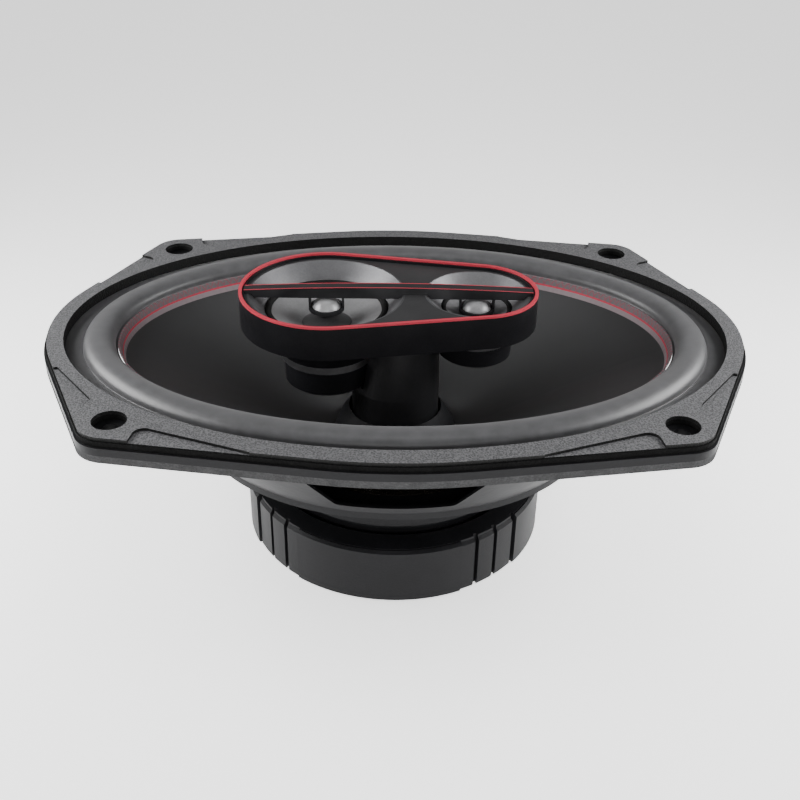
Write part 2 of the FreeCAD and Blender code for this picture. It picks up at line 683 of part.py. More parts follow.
def driver_envelopes(name, clear):
    """The room that the two small drivers take below the housing, with a clearance."""
    mid_foot = s.mid_foot_radius + clear
    mid_cone = document.addObject("Part::Cone", name + "_mid_cone")
    bind(mid_cone, "Radius1", mid_foot)
    bind(mid_cone, "Radius2", s.mid_basket_radius + clear)
    bind(mid_cone, "Height", s.housing_floor - s.mid_basket_foot)
    place(mid_cone, s.mid_x, 0, s.mid_basket_foot)
    mid_can = cylinder(name + "_mid_can", mid_foot, s.mid_yoke_foot - clear, s.mid_basket_foot, s.mid_x)
    tweeter_can = cylinder(name + "_tweeter_can", s.tweeter_can_radius + clear, s.tweeter_foot - clear, 30,
                           s.tweeter_x)
    return [mid_cone, mid_can, tweeter_can]


def center_post():
    """Post from the pole to the housing's floor, hollowed where the small drivers sit beside it."""
    stem = cylinder("post_stem", s.post_radius, s.basket_floor, s.post_neck)
    neck = ellipse("post_neck_section", s.post_radius, s.post_radius, s.post_neck)
    head = ellipse("post_head_section", s.post_head_long, s.post_head_short, s.housing_floor)
    head.Placement.Rotation = FreeCAD.Rotation(FreeCAD.Vector(0, 0, 1), 90)
    place(head, x=s.post_head_x)
    neck.Placement.Rotation = FreeCAD.Rotation(FreeCAD.Vector(0, 0, 1), 90)
    flare = document.addObject("Part::Loft", "post_flare")
    flare.Sections = [neck, head]
    flare.Solid = True
    flare.Ruled = True
    bore = cylinder("post_bore", s.post_bolt_radius + 0.02, s.basket_floor - 1, -30)
    body = fuse("post_body", [stem, flare])
    node(cut("post_cut", body, bore, *driver_envelopes("post_room", 0.1)), "center_post")
    shank = cylinder("post_bolt_shank", s.post_bolt_radius, s.yoke_foot, -31)
    head_solid = cylinder("post_bolt_head", s.post_bolt_head_radius, s.yoke_foot - 1.6, s.yoke_foot)
    socket = cylinder("post_bolt_socket", 2.0, s.yoke_foot - 2, s.yoke_foot + 1.5)
    node(cut("post_bolt_cut", fuse("post_bolt_solid", [shank, head_solid]), socket), "post_bolt")


def lobes(inset):
    """The housing's outline as circles for draw_hull, moved inward by inset."""
    return [(s.tweeter_x, 0, s.tweeter_lobe - inset), (s.mid_x, 0, s.mid_lobe - inset)]


def lobe_prism(name, inset, foot, top):
    """A plate of the housing's outline."""
    return prism(name, lambda sketch: draw_hull(sketch, lobes(inset)), foot, top)


def bridge():
    """Tub that carries the small drivers, its red rim and the deck plate."""
    tub = lobe_prism("tub_solid", 0, s.housing_floor, s.housing_top)
    inside = lobe_prism("tub_inside", s.housing_wall, s.housing_floor + s.floor_sheet, 30)
    mid_hole = cylinder("tub_mid_hole", s.mid_basket_radius + 0.05, 5, 30, s.mid_x)
    tweeter_hole = cylinder("tub_tweeter_hole", s.tweeter_can_radius + 0.05, 5, 30, s.tweeter_x)
    node(cut("tub_cut", tub, inside, mid_hole, tweeter_hole), "bridge_housing")
    rim = lobe_prism("rim_solid", 0, s.housing_top, s.rim_top)
    node(cut("rim_cut", rim, lobe_prism("rim_open", s.rim_width, 15, 30)), "housing_rim")
    deck = lobe_prism("deck_solid", s.housing_wall + 0.02, s.deck_foot, s.deck_top)
    mid_dish = cylinder("deck_mid_dish", s.mid_flare_radius, 15, 30, s.mid_x)
    tweeter_dish = cylinder("deck_tweeter_dish", s.tweeter_flare_radius, 15, 30, s.tweeter_x)
    node(cut("deck_cut", deck, mid_dish, tweeter_dish), "front_deck")


def bar_web(name, x, top_half, foot_half):
    """The part of the bar that hangs into one dish, with its ends along the dish's wall."""
    top = s.deck_top + 0.1
    outline = [(x - top_half, top), (x - foot_half, s.web_foot), (x + foot_half, s.web_foot),
               (x + top_half, top)]
    return slab(name, lambda sketch: draw_profile(sketch, outline), "XZ_Plane", s.bar_width)


def bridge_bar():
    """Arched bar across both lobes, deeper where it crosses the dishes."""
    left = s.mid_x - s.mid_lobe + s.housing_wall
    right = s.tweeter_x + s.tweeter_lobe - s.housing_wall
    arch = [(left, s.deck_top), (right, s.deck_top), (right, s.bar_end_top),
            Bow(s.bar_middle, s.bar_middle_top), (left, s.bar_end_top)]
    bar = slab("bar_body", lambda sketch: draw_profile(sketch, arch), "XZ_Plane", s.bar_width)
    mid_web = bar_web("mid_web", s.mid_x, s.mid_web_top, s.mid_web_foot)
    tweeter_web = bar_web("tweeter_web", s.tweeter_x, s.tweeter_web_top, s.tweeter_web_foot)
    node(fuse("bar_fused", [bar, mid_web, tweeter_web]), "bridge_bar")


# ---- small drivers --------------------------------------------------------------------------


def dish(label, x, outer, top, inner, foot):
    """Thin silver flare from the deck's opening down to a driver's mouth, curved like a bowl."""
    thick = 0.6
    sag = 0.35
    middle_x = (outer + inner) * 0.5 - sag
    middle_z = (top + foot) * 0.5 - sag
    node(turned(label + "_body", [
        (outer - thick, top), Bow(middle_x - thick, middle_z), (inner - thick, foot),
        (inner, foot), Bow(middle_x, middle_z), (outer, top)], x), label)


def cap(label, x, radius, foot, crown):
    """A thin cap that is part of a sphere centred on the axis."""
    thick = 0.3
    height = crown - foot
    sphere = (radius * radius + height * height) / (height * 2)
    centre = crown - sphere
    inner = sphere - thick
    lean = math.asin(radius.value / sphere.value) / 2
    drop = foot - centre
    foot_out = (inner * inner - drop * drop).root()
    node(turned(label + "_body", [
        (0, crown), Bow(sphere * math.sin(lean), centre + sphere * math.cos(lean)), (radius, foot),
        (foot_out, foot), Bow(inner * math.sin(lean), centre + inner * math.cos(lean)),
        (0, crown - thick)], x), label)


def ring(label, x, inner, outer, foot, top):
    """A flat ring."""
    node(turned(label + "_body", [(inner, foot), (outer, foot), (outer, top), (inner, top)], x), label)


def shallow_cone(label, x, edge_radius, edge, cap_radius, cap_foot, neck_radius, neck):
    """A thin cone with a short collar for its coil."""
    skin = 0.35
    node(turned(label + "_body", [
        (edge_radius, edge), (cap_radius, cap_foot), (neck_radius, neck), (neck_radius + skin, neck),
        (cap_radius + skin, cap_foot - skin), (edge_radius, edge - skin)], x), label)


def half_roll(label, x, inner, outer, foot, height):
    """A small surround: half roll with a flat edge on both sides."""
    skin = 0.25
    middle = (inner + outer) * 0.5
    node(turned(label + "_body", [
        (inner, foot), Bow(middle, foot + height), (outer, foot),
        (outer, foot - skin), Bow(middle, foot + height - skin), (inner, foot - skin)], x), label)


def midrange():
    """Cone midrange of the left lobe."""
    x = s.mid_x
    mouth = s.mid_mouth_radius
    dish("mid_flare", x, s.mid_flare_radius, s.deck_top, mouth, s.mid_mouth)
    basket_radius = s.mid_basket_radius
    foot_radius = s.mid_foot_radius
    foot = s.mid_basket_foot
    node(turned("mid_basket_body", [
        (mouth - 0.6, s.mid_mouth), (basket_radius, s.mid_mouth), (basket_radius, s.housing_floor),
        (foot_radius, foot), (s.mid_gap_radius + 1.5, foot), (s.mid_gap_radius + 1.5, foot + 0.8),
        (foot_radius - 1.1, foot + 0.8), (basket_radius - 1.1, s.housing_floor),
        (basket_radius - 1.1, s.mid_cone_edge - 0.4), (mouth - 0.6, s.mid_cone_edge - 0.4)], x), "mid_basket")
    ring("mid_front_plate", x, s.mid_gap_radius, foot_radius, s.mid_plate_foot, foot)
    ring("mid_magnet", x, s.mid_gap_radius + 1.5, s.mid_magnet_radius, s.mid_magnet_foot, s.mid_plate_foot)
    node(turned("mid_yoke_body", [
        (0, s.mid_yoke_foot), (s.mid_magnet_radius - 0.8, s.mid_yoke_foot),
        (s.mid_magnet_radius, s.mid_yoke_foot + 0.8), (s.mid_magnet_radius, s.mid_magnet_foot),
        (s.mid_pole_radius, s.mid_magnet_foot), (s.mid_pole_radius, foot), (0, foot)], x), "mid_yoke")
    shallow_cone("mid_cone", x, s.mid_cone_radius, s.mid_cone_edge, s.mid_cap_radius, s.mid_cap_foot,
                 s.mid_neck_radius, s.mid_neck)
    cap("mid_dust_cap", x, s.mid_cap_radius - 0.05, s.mid_cap_foot + 0.1, s.mid_cap_crown)
    ring("mid_voice_coil", x, s.mid_former_radius, s.mid_neck_radius,
         s.mid_plate_foot - 1.5, s.mid_neck + 0.4)
    half_roll("mid_surround", x, s.mid_cone_radius + 0.1, mouth - 0.7, s.mid_cone_edge, s.mid_roll_height)
    outline = spider_section(s.mid_neck_radius + 0.15, foot_radius + 1, s.mid_spider_height,
                             waves=3, wave=0.5, skin=0.3)
    node(turned("mid_spider_body", outline, x), "mid_spider")


def tweeter():
    """Cone tweeter of the right lobe."""
    x = s.tweeter_x
    mouth = s.tweeter_mouth_radius
    can = s.tweeter_can_radius
    dish("tweeter_flare", x, s.tweeter_flare_radius, s.deck_top, mouth, s.tweeter_mouth)
    node(turned("tweeter_can_body", [
        (mouth - 0.6, s.tweeter_mouth), (can, s.tweeter_mouth), (can, s.tweeter_plate_top),
        (s.tweeter_gap_radius + 2, s.tweeter_plate_top),
        (s.tweeter_gap_radius + 2, s.tweeter_plate_top + 0.8),
        (can - 0.9, s.tweeter_plate_top + 0.8), (can - 0.9, s.tweeter_cone_edge - 0.4),
        (mouth - 0.6, s.tweeter_cone_edge - 0.4)], x), "tweeter_can")
    ring("tweeter_front_plate", x, s.tweeter_gap_radius, can - 0.4, s.tweeter_magnet_top, s.tweeter_plate_top)
    ring("tweeter_magnet", x, s.tweeter_gap_radius + 1.4, can - 0.2, s.tweeter_yoke_top, s.tweeter_magnet_top)
    node(turned("tweeter_yoke_body", [
        (0, s.tweeter_foot), (can - 0.9, s.tweeter_foot), (can - 0.3, s.tweeter_foot + 0.6),
        (can - 0.3, s.tweeter_yoke_top), (s.tweeter_pole_radius, s.tweeter_yoke_top),
        (s.tweeter_pole_radius, s.tweeter_plate_top), (0, s.tweeter_plate_top)], x), "tweeter_yoke")
    shallow_cone("tweeter_cone", x, s.tweeter_cone_radius, s.tweeter_cone_edge, s.tweeter_cap_radius,
                 s.tweeter_cap_foot, s.tweeter_former_radius + 0.35, s.tweeter_cap_foot - 1)
    cap("tweeter_dust_cap", x, s.tweeter_cap_radius - 0.05, s.tweeter_cap_foot + 0.1, s.tweeter_cap_crown)
    ring("tweeter_voice_coil", x, s.tweeter_former_radius, s.tweeter_former_radius + 0.35,
         s.tweeter_magnet_top - 0.8, s.tweeter_cap_foot - 0.4)
    half_roll("tweeter_surround", x, s.tweeter_cone_radius + 0.1, mouth - 0.7, s.tweeter_cone_edge,
              s.tweeter_roll_height)


def small_dome(side, x):
    """Dome unit hung from the bar: pod with two struts, magnet, coil and dome."""
    wall = s.pod_wall
    pod = turned(side + "_pod_shell", [
        (0, s.pod_foot), (s.pod_radius - wall, s.pod_foot), (s.pod_radius, s.pod_foot + wall),
        (s.pod_radius, s.pod_top), (s.pod_bore_radius, s.pod_top), (s.pod_bore_radius, s.pod_foot + wall),
        (0, s.pod_foot + wall)], x)
    half_thick = s.strut_thick * 0.5
    half_width = s.strut_width * 0.5
    struts = []
    for number, way in enumerate((-1, 1), start=1):
        middle = x + s.strut_x * way
        struts.append(box("%s_strut_%d" % (side, number),
                          (middle - half_thick, -half_width, s.pod_top - 1),
                          (middle + half_thick, half_width, s.web_foot)))
    node(fuse(side + "_pod_fused", [pod] + struts), side + "_pod")
    node(turned(side + "_pod_magnet_body", [
        (0, s.pod_foot + wall), (s.pod_magnet_radius, s.pod_foot + wall),
        (s.pod_magnet_radius, s.pod_top - 0.2), (0, s.pod_top - 0.2)], x), side + "_pod_magnet")
    dome_foot = s.pod_top - 0.2
    cap(side + "_dome", x, s.small_dome_radius, dome_foot, s.small_dome_crown)
    ring(side + "_dome_coil", x, s.small_dome_radius - 0.6, s.small_dome_radius - 0.35,
         s.pod_foot + 1.1, dome_foot)


# ---- terminals ------------------------------------------------------------------------------


def blade(label, middle, width):
    """A push-on blade with an eye near its end; returns the solid strip for the board's slot."""
    half = width * 0.5
    strip = box(label + "_strip", (middle - half, s.blade_root, s.blade_height),
                (middle + half, s.blade_end, s.blade_height + s.blade_thick))
    eye = cylinder(label + "_eye", s.eye_radius, s.blade_height - 5, s.blade_height + 5,
                   middle, s.blade_end - 2.2)
    node(cut(label + "_cut", strip, eye), label)
    return strip


def terminals():
    """Board on the basket's cup with blades, rivets, capacitors and the pins for the coil's leads."""
    width = s.board_half_width
    block = box("board_block", (-width, s.board_back, s.board_foot), (width, s.board_front, s.board_top))
    cup = cylinder("board_cup", s.cup_radius + s.cup_wall + 0.02, s.board_foot - 5, s.board_top + 5)
    strips = [blade("positive_blade", s.blade_x, s.positive_blade_width),
              blade("negative_blade", -s.blade_x, s.negative_blade_width)]
    height = s.board_rivet_height
    rivets = []
    holes = []
    for number in range(3):
        x = s.board_rivet_x * (number - 1)
        start = (x, s.blade_root + 0.5, height)
        rivets.append(pipe("board_rivet_%d" % number, s.board_rivet_radius, start,
                           (x, s.board_front + 0.8, height)))
        holes.append(pipe("board_hole_%d" % number, s.board_rivet_radius, start,
                          (x, s.board_front + 2, height)))
    leads = [(number, s.blade_x * side) for number, side in enumerate((-1, 1))]
    lead_room = [pipe("board_lead_%d" % number, s.lead_radius + 0.05, (x, s.board_back - 2, s.lead_height),
                      (x, s.lead_outer + 1.5, s.lead_height)) for number, x in leads]
    node(cut("board_cut", block, cup, *strips, *holes, *lead_room), "terminal_board")
    node(group("board_rivet_group", rivets), "terminal_rivets")
    reach = s.cup_radius + s.cup_wall + s.capacitor_radius + 0.1
    across = (reach * reach - s.capacitor_x * s.capacitor_x).root()
    cans = [cylinder("capacitor_%d" % number, s.capacitor_radius, s.board_foot, s.board_top,
                     s.capacitor_x * side, across) for number, side in enumerate((-1, 1))]
    node(group("capacitor_group", cans), "crossover_capacitors")
    pins = [pipe("lead_pin_%d" % number, s.lead_radius, (x, s.lead_outer, s.lead_height),
                 (x, s.lead_inner, s.lead_height)) for number, x in leads]
    node(group("lead_pin_group", pins), "lead_pins")


def export():
    """Recompute, check every object and write one STEP file for each sub-part."""
    document.recompute()
    for item in document.Objects:
        bad = [state for state in item.State if state in ("Invalid", "Error")]
        if bad or (hasattr(item, "Shape") and item.isDerivedFrom("Part::Feature") and item.Shape.isNull()):
            raise RuntimeError("%s is not sound: %s" % (item.Name, item.State))
    os.makedirs("parts", exist_ok=True)
    for item in nodes:
        if not item.Shape.isValid():
            raise RuntimeError("%s has an invalid shape" % item.Label)
        item.Shape.exportStep("parts/%s.step" % item.Label)


rear_gasket()
basket()
front_gasket()
trim_ring()
surround()
woofer_cone()
coil()
spider()
motor()
magnet_cover()
center_post()
bridge()
bridge_bar()
midrange()
tweeter()
small_dome("left", s.mid_x)
small_dome("right", s.tweeter_x)
terminals()
export()
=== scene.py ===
"""Looks of the coaxial car speaker: materials, the soft rings and the studio."""
import bpy
import math
from mathutils import Matrix, Vector


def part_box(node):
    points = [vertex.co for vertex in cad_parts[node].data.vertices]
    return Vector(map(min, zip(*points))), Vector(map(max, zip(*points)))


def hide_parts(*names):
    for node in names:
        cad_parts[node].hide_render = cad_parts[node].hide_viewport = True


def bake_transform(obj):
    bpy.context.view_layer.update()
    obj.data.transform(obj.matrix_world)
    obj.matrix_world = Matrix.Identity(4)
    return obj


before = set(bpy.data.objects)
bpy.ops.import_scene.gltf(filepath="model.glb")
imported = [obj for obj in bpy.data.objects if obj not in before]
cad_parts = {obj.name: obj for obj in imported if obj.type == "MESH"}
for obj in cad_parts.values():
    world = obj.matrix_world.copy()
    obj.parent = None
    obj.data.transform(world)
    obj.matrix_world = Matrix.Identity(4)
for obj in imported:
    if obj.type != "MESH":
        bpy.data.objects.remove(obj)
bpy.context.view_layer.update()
MM = 0.001
TURN = 2 * math.pi

# ---- camera ---------------------------------------------------------------------------------

ELEVATION = math.radians(31.44)
YAW = math.radians(0.90)
ROLL = math.radians(1.00)
DISTANCE = 374.06 * MM
ASIDE = -1.694 * MM
ABOVE = 25.707 * MM
LENS = 49.18
TRIM_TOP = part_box("trim_ring")[1].z


def make_camera():
    """The photograph's viewpoint: its axes are worked out from elevation, yaw and roll."""
    right = Vector((math.cos(YAW), -math.sin(YAW), 0))
    level_ahead = Vector((math.sin(YAW), math.cos(YAW), 0))
    vertical = Vector((0, 0, 1))
    up = level_ahead * math.sin(ELEVATION) + vertical * math.cos(ELEVATION)
    ahead = level_ahead * math.cos(ELEVATION) - vertical * math.sin(ELEVATION)
    data = bpy.data.cameras.new("camera")
    data.sensor_width = 36
    data.lens = LENS
    data.clip_start = 0.01
    camera = bpy.data.objects.new("camera", data)
    bpy.context.scene.collection.objects.link(camera)
    place = Vector((0, 0, TRIM_TOP)) - right * ASIDE - up * ABOVE - ahead * DISTANCE
    level = right * math.cos(ROLL) + up * math.sin(ROLL)
    upright = up * math.cos(ROLL) - right * math.sin(ROLL)
    turn = Matrix((level, upright, -ahead)).transposed().to_4x4()
    camera.matrix_world = Matrix.Translation(place) @ turn
    bpy.context.scene.camera = camera


# ---- node materials -------------------------------------------------------------------------


class Look:
    """A Principled material and short calls that add procedural detail to it."""

    def __init__(self, name, color, roughness, metallic=0.0, coat=0.0, specular=0.5, sheen=0.0):
        self.material = bpy.data.materials.new(name)
        self.material.use_nodes = True
        self.tree = self.material.node_tree
        self.shader = self.tree.nodes["Principled BSDF"]
        self.color = color
        self.roughness = roughness
        self.set("Base Color", (*color, 1))
        self.set("Roughness", roughness)
        self.set("Metallic", metallic)
        self.set("Coat Weight", coat)
        self.set("Coat Roughness", 0.1)
        self.set("Specular IOR Level", specular)
        self.set("Sheen Weight", sheen)
        self.place = self.node("ShaderNodeTexCoord").outputs["Object"]
        self.normal = None

    def set(self, socket, value):
        self.shader.inputs[socket].default_value = value

    def node(self, kind, **values):
        made = self.tree.nodes.new(kind)
        for name, value in values.items():
            setattr(made, name, value)
        return made

    def link(self, start, end):
        self.tree.links.new(start, end)

    def math(self, operation, one, two=0.0, three=None):
        made = self.node("ShaderNodeMath", operation=operation)
        for socket, value in zip(made.inputs, (one, two, three)):
            if value is None:
                continue
            if isinstance(value, (int, float)):
                socket.default_value = value
            else:
                self.link(value, socket)
        return made.outputs[0]

    def axes(self):
        """The x, y and z of the place in the row frame."""
        split = self.node("ShaderNodeSeparateXYZ")
        self.link(self.place, split.inputs[0])
        return split.outputs

    def noise(self, size, detail=3.0, stretch=(1, 1, 1)):
        """Noise whose blobs are about size metres across."""
        mapping = self.node("ShaderNodeMapping")
        mapping.inputs["Scale"].default_value = [1 / (size * part) for part in stretch]
        self.link(self.place, mapping.inputs["Vector"])
        made = self.node("ShaderNodeTexNoise")
        made.inputs["Scale"].default_value = 1.0
        made.inputs["Detail"].default_value = detail
        self.link(mapping.outputs[0], made.inputs["Vector"])
        return made.outputs["Fac"]

    def cells(self, size, feature="F1"):
        """Cells about size metres across: 0 in their middles, higher towards their edges."""
        made = self.node("ShaderNodeTexVoronoi", feature=feature)
        made.inputs["Scale"].default_value = 1 / size
        self.link(self.place, made.inputs["Vector"])
        return made.outputs["Distance"]

    def ramp(self, value, *stops):
        """Colours or greys along a value; each stop is (position, colour)."""
        made = self.node("ShaderNodeValToRGB")
        elements = made.color_ramp.elements
        while len(elements) < len(stops):
            elements.new(0.5)
        for element, (position, color) in zip(elements, stops):
            element.position = position
            element.color = (*color, 1) if len(color) == 3 else color
        self.link(value, made.inputs[0])
        return made.outputs[0]

    def between(self, value, low, high):
        """1 where a value lies between two limits, else 0."""
        above = self.math("GREATER_THAN", value, low)
        below = self.math("LESS_THAN", value, high)
        return self.math("MULTIPLY", above, below)

    def mix(self, share, one, two, blend="MIX"):
        """Mix two colours; either may be a socket or plain numbers."""
        made = self.node("ShaderNodeMix", data_type="RGBA", blend_type=blend)
        for socket, value in ((made.inputs[0], share), (made.inputs[6], one), (made.inputs[7], two)):
            if isinstance(value, tuple):
                socket.default_value = (*value, 1)
            elif isinstance(value, (int, float)):
                socket.default_value = value
            else:
                self.link(value, socket)
        return made.outputs[2]

    def spread(self, value, low, high):
        """Map a 0..1 value onto low..high."""
        made = self.node("ShaderNodeMapRange")
        made.inputs["To Min"].default_value = low
        made.inputs["To Max"].default_value = high
        self.link(value, made.inputs["Value"])
        return made.outputs[0]

    def bump(self, height, depth, strength=1.0):
        """Add a height in metres to the surface; several calls add up."""
        made = self.node("ShaderNodeBump")
        made.inputs["Strength"].default_value = strength
        made.inputs["Distance"].default_value = depth
        self.link(height, made.inputs["Height"])
        if self.normal:
            self.link(self.normal, made.inputs["Normal"])
        self.normal = made.outputs[0]
        self.link(self.normal, self.shader.inputs["Normal"])

    def wear(self, amount=0.12, size=0.012, fine=0.0006):
        """Slight unevenness of colour and gloss that any moulded or painted surface has."""
        broad = self.noise(size, 2.0)
        close = self.noise(fine, 4.0)
        both = self.math("MULTIPLY", broad, close)
        dark = tuple(part * (1 - amount) for part in self.color)
        light = tuple(min(part * (1 + amount) + amount * 0.01, 1) for part in self.color)
        self.link(self.ramp(both, (0.1, dark), (0.45, light)), self.shader.inputs["Base Color"])
        low = max(self.roughness - amount * 0.5, 0.03)
        high = min(self.roughness + amount * 0.5, 1)
        self.link(self.spread(broad, low, high), self.shader.inputs["Roughness"])
        return self


def upward(look):
    """1 where the surface faces mostly up, else 0."""
    split = look.node("ShaderNodeSeparateXYZ")
    look.link(look.node("ShaderNodeNewGeometry").outputs["Normal"], split.inputs[0])
    return look.math("GREATER_THAN", split.outputs[2], 0.5)


def brushed(look, axis_x=0.0, rings=0.00025):
    """Fine turned grooves round an upright axis at x."""
    x, y, _ = look.axes()
    across = look.math("SUBTRACT", x, axis_x)
    squares = look.math("ADD", look.math("MULTIPLY", across, across), look.math("MULTIPLY", y, y))
    radius = look.math("SQRT", squares)
    wave = look.math("SINE", look.math("MULTIPLY", radius, TURN / rings))
    look.bump(wave, 0.000004)
    return look


def trim_look():
    """Charcoal plastic with a fine pebbled grain on top; its steep faces are painted near black as painted
    shade.
    """
    look = Look("trim_plastic", (0.11, 0.11, 0.115), 0.55, specular=0.2)
    pebbles = look.cells(0.0006)
    fine = look.noise(0.0004, 3.0)
    tone = look.math("MULTIPLY", pebbles, fine)
    grain = look.ramp(tone, (0.08, (0.04, 0.04, 0.042)), (0.35, (0.12, 0.12, 0.124)))
    # painted shade: every face not turned up gets near black instead of the grain
    look.link(look.mix(upward(look), (0.006, 0.006, 0.006), grain), look.shader.inputs["Base Color"])
    look.link(look.spread(fine, 0.42, 0.62), look.shader.inputs["Roughness"])
    look.bump(pebbles, 0.00016)
    look.bump(fine, 0.00008)
    return look.material


def surround_look():
    """Satin rubber with a soft sheen and faint moulding streaks."""
    look = Look("surround_rubber", (0.06, 0.06, 0.063), 0.4, specular=0.45, sheen=0.1)
    streaks = look.noise(0.004, 3.0)
    fine = look.noise(0.0003, 3.0)
    look.link(look.ramp(streaks, (0.3, (0.045, 0.045, 0.047)), (0.7, (0.062, 0.062, 0.065))),
              look.shader.inputs["Base Color"])
    look.link(look.spread(streaks, 0.34, 0.46), look.shader.inputs["Roughness"])
    look.bump(fine, 0.00002)
    return look.material


def cone_look(name, shade):
    """Injection-moulded cone, satin gloss, with faint flecks and a trace of flow lines."""
    look = Look(name, shade, 0.4, specular=0.5)
    flecks = look.cells(0.0009)
    flow = look.noise(0.02, 4.0, (1, 0.35, 1))
    light = tuple(part * 1.7 + 0.002 for part in shade)
    look.link(look.mix(look.ramp(flecks, (0.03, (0.5, 0.5, 0.5)), (0.16, (0, 0, 0))), shade, light),
              look.shader.inputs["Base Color"])
    look.link(look.spread(flow, 0.36, 0.44), look.shader.inputs["Roughness"])
    look.bump(flow, 0.00003)
    return look.material


RIDGE_SHARE = 0.444  # height of the ridge line within the edge ring


def edge_band_look():
    """Grey band with pink hatching above a red line along its ridge."""
    look = Look("edge_band", (0.2, 0.14, 0.15), 0.6, specular=0.08)
    x, y, z = look.axes()
    low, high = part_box("cone_edge_ring")
    turn = look.math("ARCTAN2", look.math("MULTIPLY", y, high.x / high.y), x)
    rise = look.math("MULTIPLY", z, 1500.0)
    step = look.math("MULTIPLY", turn, 190.0)
    hatch = look.math("MAXIMUM", look.math("SINE", look.math("ADD", step, rise)),
                      look.math("SINE", look.math("SUBTRACT", step, rise)))
    speckle = look.noise(0.0009, 2.0)
    share = look.math("MULTIPLY", hatch, speckle)
    pattern = look.ramp(share, (0.28, (0.13, 0.115, 0.12)), (0.5, (0.2, 0.085, 0.1)))
    ridge = low.z + (high.z - low.z) * RIDGE_SHARE
    lower = look.math("LESS_THAN", z, ridge - 0.3 * MM)
    band = look.mix(lower, pattern, (0.22, 0.18, 0.19))
    line = look.between(z, ridge - 0.3 * MM, ridge + 0.3 * MM)
    look.link(look.mix(line, band, (0.42, 0.05, 0.075)), look.shader.inputs["Base Color"])
    look.link(look.spread(speckle, 0.45, 0.62), look.shader.inputs["Roughness"])
    look.bump(hatch, 0.00004)
    return look.material


def red_look():
    """Glossy red plastic."""
    return Look("red_plastic", (0.42, 0.03, 0.05), 0.4, coat=0.1).wear(0.08).material


def bar_look():
    """Gloss black bar with a thin red line along both long edges of its top."""
    look = Look("bar_plastic", (0.008, 0.008, 0.009), 0.3, coat=0.2)
    _, y, _ = look.axes()
    edge = look.math("GREATER_THAN", look.math("ABSOLUTE", y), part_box("bridge_bar")[1].y - 0.45 * MM)
    gloss = look.noise(0.006)
    base = look.ramp(gloss, (0.3, (0.006, 0.006, 0.007)), (0.7, (0.012, 0.012, 0.013)))
    pinstripe = look.math("MULTIPLY", edge, upward(look))
    look.link(look.mix(pinstripe, base, (0.42, 0.03, 0.05)), look.shader.inputs["Base Color"])
    look.link(look.spread(gloss, 0.24, 0.36), look.shader.inputs["Roughness"])
    return look.material


def plastic_look(name, shade, roughness, grain=0.00005, size=0.0005, specular=0.5):
    """Moulded plastic with an etched grain."""
    look = Look(name, shade, roughness, specular=specular).wear(0.15)
    look.bump(look.noise(size, 2.0), grain)
    return look.material


def painted_look():
    """Dark paint with a light orange peel over pressed steel."""
    look = Look("basket_paint", (0.008, 0.008, 0.009), 0.42, specular=0.16).wear(0.12)
    look.bump(look.noise(0.0016, 2.0), 0.00004)
    return look.material


def highlight_band_can_look():
    """Black chassis with a light grey band on its uppermost rim: a painted highlight."""
    look = Look("mid_chassis_plastic_painted_highlight", (0.01, 0.01, 0.011), 0.5, specular=0.06)
    _, _, z = look.axes()
    # painted highlight: the top 6.2 mm of the chassis is coloured light grey
    rim = look.math("GREATER_THAN", z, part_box("mid_basket")[1].z - 6.2 * MM)
    cloud = look.noise(0.003)
    black = look.ramp(cloud, (0.3, (0.004, 0.004, 0.005)), (0.7, (0.008, 0.008, 0.009)))
    look.link(look.mix(rim, black, (0.2, 0.2, 0.205)), look.shader.inputs["Base Color"])
    look.link(look.spread(cloud, 0.42, 0.58), look.shader.inputs["Roughness"])
    return look.material


def foam_look(name, shade):
    """Closed-cell foam."""
    look = Look(name, shade, 0.9, specular=0.08).wear(0.3, 0.004)
    look.bump(look.cells(0.0005), 0.0001)
    return look.material


def metal_look(name, shade, roughness, axis_x=0.0):
    """Machined or drawn metal with fine turning marks."""
    look = Look(name, shade, roughness, metallic=1.0).wear(0.12, 0.005)
    return brushed(look, axis_x).material


def copper_look():
    """Enamelled copper wire wound in layers."""
    look = Look("copper", (0.65, 0.27, 0.13), 0.3, metallic=1.0).wear(0.15)
    _, _, z = look.axes()
    look.bump(look.math("SINE", look.math("MULTIPLY", z, TURN / 0.00035)), 0.00006)
    return look.material


def cloth_look(name, shade):
    """Resin-dipped woven cloth."""
    look = Look(name, shade, 0.75, sheen=0.1).wear(0.2, 0.006)
    x, y, _ = look.axes()
    over = look.math("SINE", look.math("MULTIPLY", x, TURN / 0.0007))
    under = look.math("SINE", look.math("MULTIPLY", y, TURN / 0.0007))
    look.bump(look.math("MULTIPLY", over, under), 0.00012)
    return look.material


def ferrite_look():
    """Grey sintered ceramic."""
    look = Look("ferrite", (0.06, 0.06, 0.062), 0.6).wear(0.3, 0.003)
    look.bump(look.noise(0.0008, 5.0), 0.00008)
    return look.material


def small_cone_look(name, axis_x, shade):
    """Light grey coated paper cone with pressed rings."""
    look = Look(name, shade, 0.4, metallic=0.35).wear(0.12, 0.004)
    return brushed(look, axis_x, 0.0011).material


